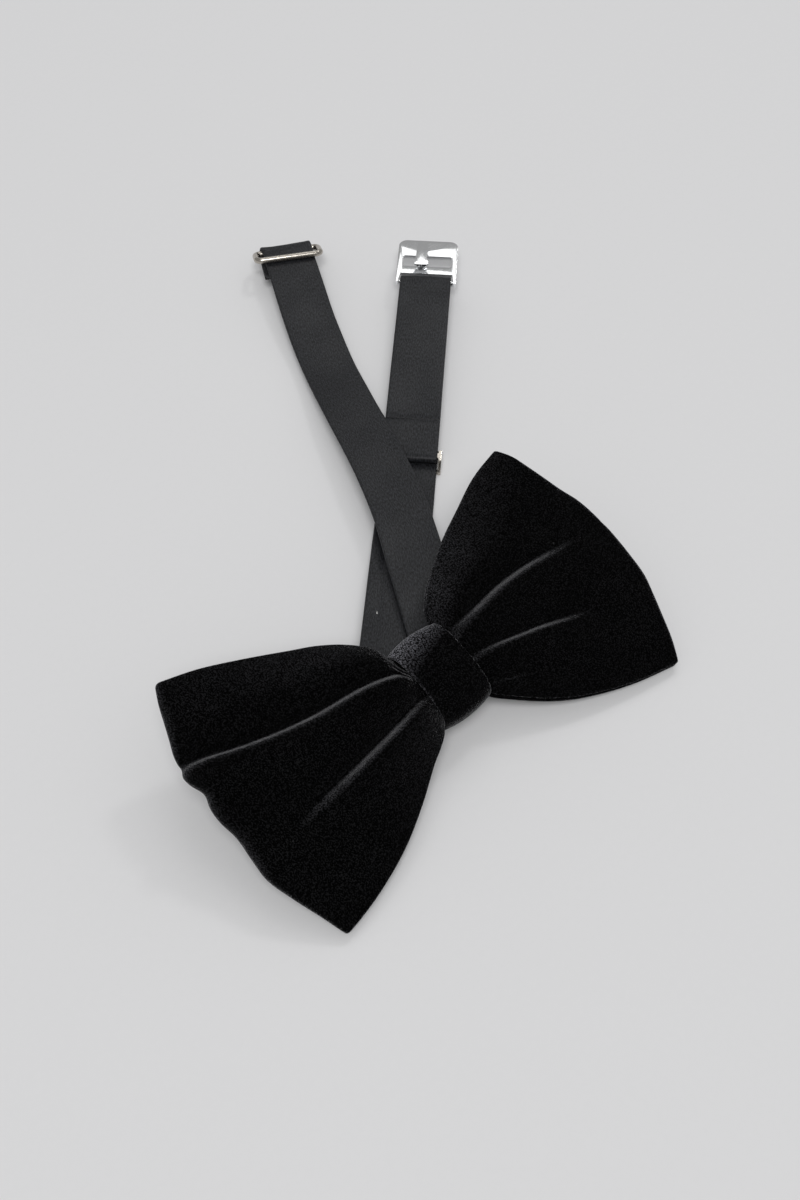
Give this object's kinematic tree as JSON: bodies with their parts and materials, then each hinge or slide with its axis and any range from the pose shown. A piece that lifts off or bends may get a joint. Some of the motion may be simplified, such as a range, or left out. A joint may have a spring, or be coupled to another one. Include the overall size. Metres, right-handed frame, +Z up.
{
  "type": "bow tie",
  "caption": "Pre-tied velvet butterfly bow tie lying face up, its satin neckband arms crossed above it, one ending in a hook and the other in a ring, with a length slide.",
  "frame": {"origin": "on the table, under the middle of the whole tie's box", "axes": "+X along the bow to its right wing, +Y from the bow towards the ends of the neckband, +Z up out of the table"},
  "size_m": [0.2122, 0.2244, 0.029],
  "materials": {
    "velvet": "matte pile",
    "satin": "satin",
    "canvas": "matte",
    "felt": "matte",
    "thread": "satin",
    "nickel": "satin",
    "bright_chrome": "polished"
  },
  "bodies": {
    "bow_and_neckband": {"left_wing": "velvet", "right_wing": "velvet", "left_interlining": "canvas", "right_interlining": "canvas", "knot_wrap": "velvet", "knot_padding": "felt", "waist_binding": "thread", "knot_stitches": "thread", "neckband_centre": "satin", "neckband_hook_arm": "satin", "hook_arm_interlining": "felt", "neckband_eye_arm": "satin", "eye_arm_interlining": "felt", "eye_bartack": "thread"},
    "slide": {"slider_frame": "nickel", "adjuster_band": "satin", "adjuster_bartack": "thread"},
    "hook_end": {"hook_loop": "satin"},
    "hook": {"hook": "bright_chrome"},
    "eye_ring": {"eye_ring": "nickel"}
  },
  "joints": [
    {"name": "slider_travel", "type": "slide", "parent": "bow_and_neckband", "child": "slide", "axis": [0.7204, 0.6908, 0.0619], "range_m": [0, 0.06]},
    {"name": "hook_loop_follow", "type": "slide", "parent": "slide", "child": "hook_end", "axis": [0.7204, 0.6908, 0.0619], "range_m": [-0.03, 0]},
    {"name": "hook_swing", "type": "hinge", "parent": "hook_end", "child": "hook", "pos_m": [0.0851, 0.05827, 0.0073], "axis": [0.6921, -0.7218, 0], "range_deg": [-18, 100]},
    {"name": "eye_swing", "type": "hinge", "parent": "bow_and_neckband", "child": "eye_ring", "pos_m": [0.06, 0.1058, 0.00634], "axis": [-0.866, 0.5, 0], "range_deg": [0, 185]}
  ],
  "couplings": [
    {"joint": "hook_loop_follow", "follows": "slider_travel", "ratio": -0.5}
  ]
}
